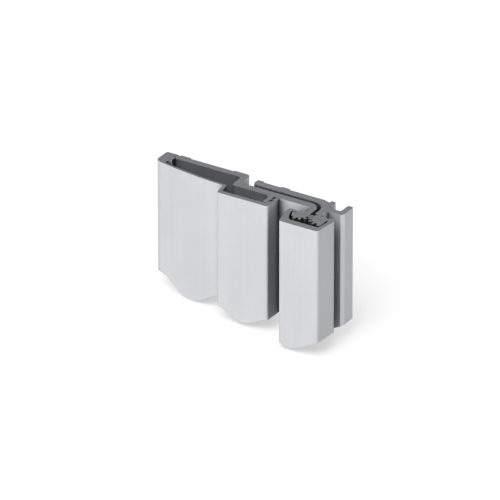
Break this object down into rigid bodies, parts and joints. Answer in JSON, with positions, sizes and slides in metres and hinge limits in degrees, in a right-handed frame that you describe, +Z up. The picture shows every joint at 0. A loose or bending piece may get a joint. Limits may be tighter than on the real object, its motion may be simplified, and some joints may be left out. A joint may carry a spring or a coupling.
{
  "type": "continuous geared hinge",
  "caption": "Short full-surface continuous geared hinge: leaves with meshing gear segments held in a cap, and a clip-on cover over the door leaf.",
  "frame": {"origin": "centre of the frame leaf's screw pattern, on the leaf's relieved back face", "axes": "+X from the door side to the frame side, +Y back towards the door and frame faces, +Z up along the hinge line; drawn closed"},
  "size_m": [0.0899, 0.0281, 0.0568],
  "materials": {
    "frame_leaf_aluminium": "satin",
    "door_leaf_aluminium": "satin",
    "cover_aluminium": "satin",
    "cap_aluminium": "satin",
    "bearing_plastic": "matte"
  },
  "bodies": {
    "frame_leaf": {"frame_leaf": "frame_leaf_aluminium"},
    "gear_cap": {"gear_cap": "cap_aluminium", "thrust_bearing": "bearing_plastic"},
    "door_leaf": {"door_leaf": "door_leaf_aluminium", "door_leaf_cover": "cover_aluminium"}
  },
  "joints": [
    {"name": "cap_swing", "type": "hinge", "parent": "frame_leaf", "child": "gear_cap", "pos_m": [0.0173, -0.0148, 0], "axis": [0, 0, 1], "range_deg": [0, 90]},
    {"name": "door_swing", "type": "hinge", "parent": "gear_cap", "child": "door_leaf", "pos_m": [0.0067, -0.0148, 0], "axis": [0, 0, 1], "range_deg": [0, 90]}
  ],
  "couplings": [
    {"joint": "door_swing", "follows": "cap_swing", "ratio": 1}
  ]
}
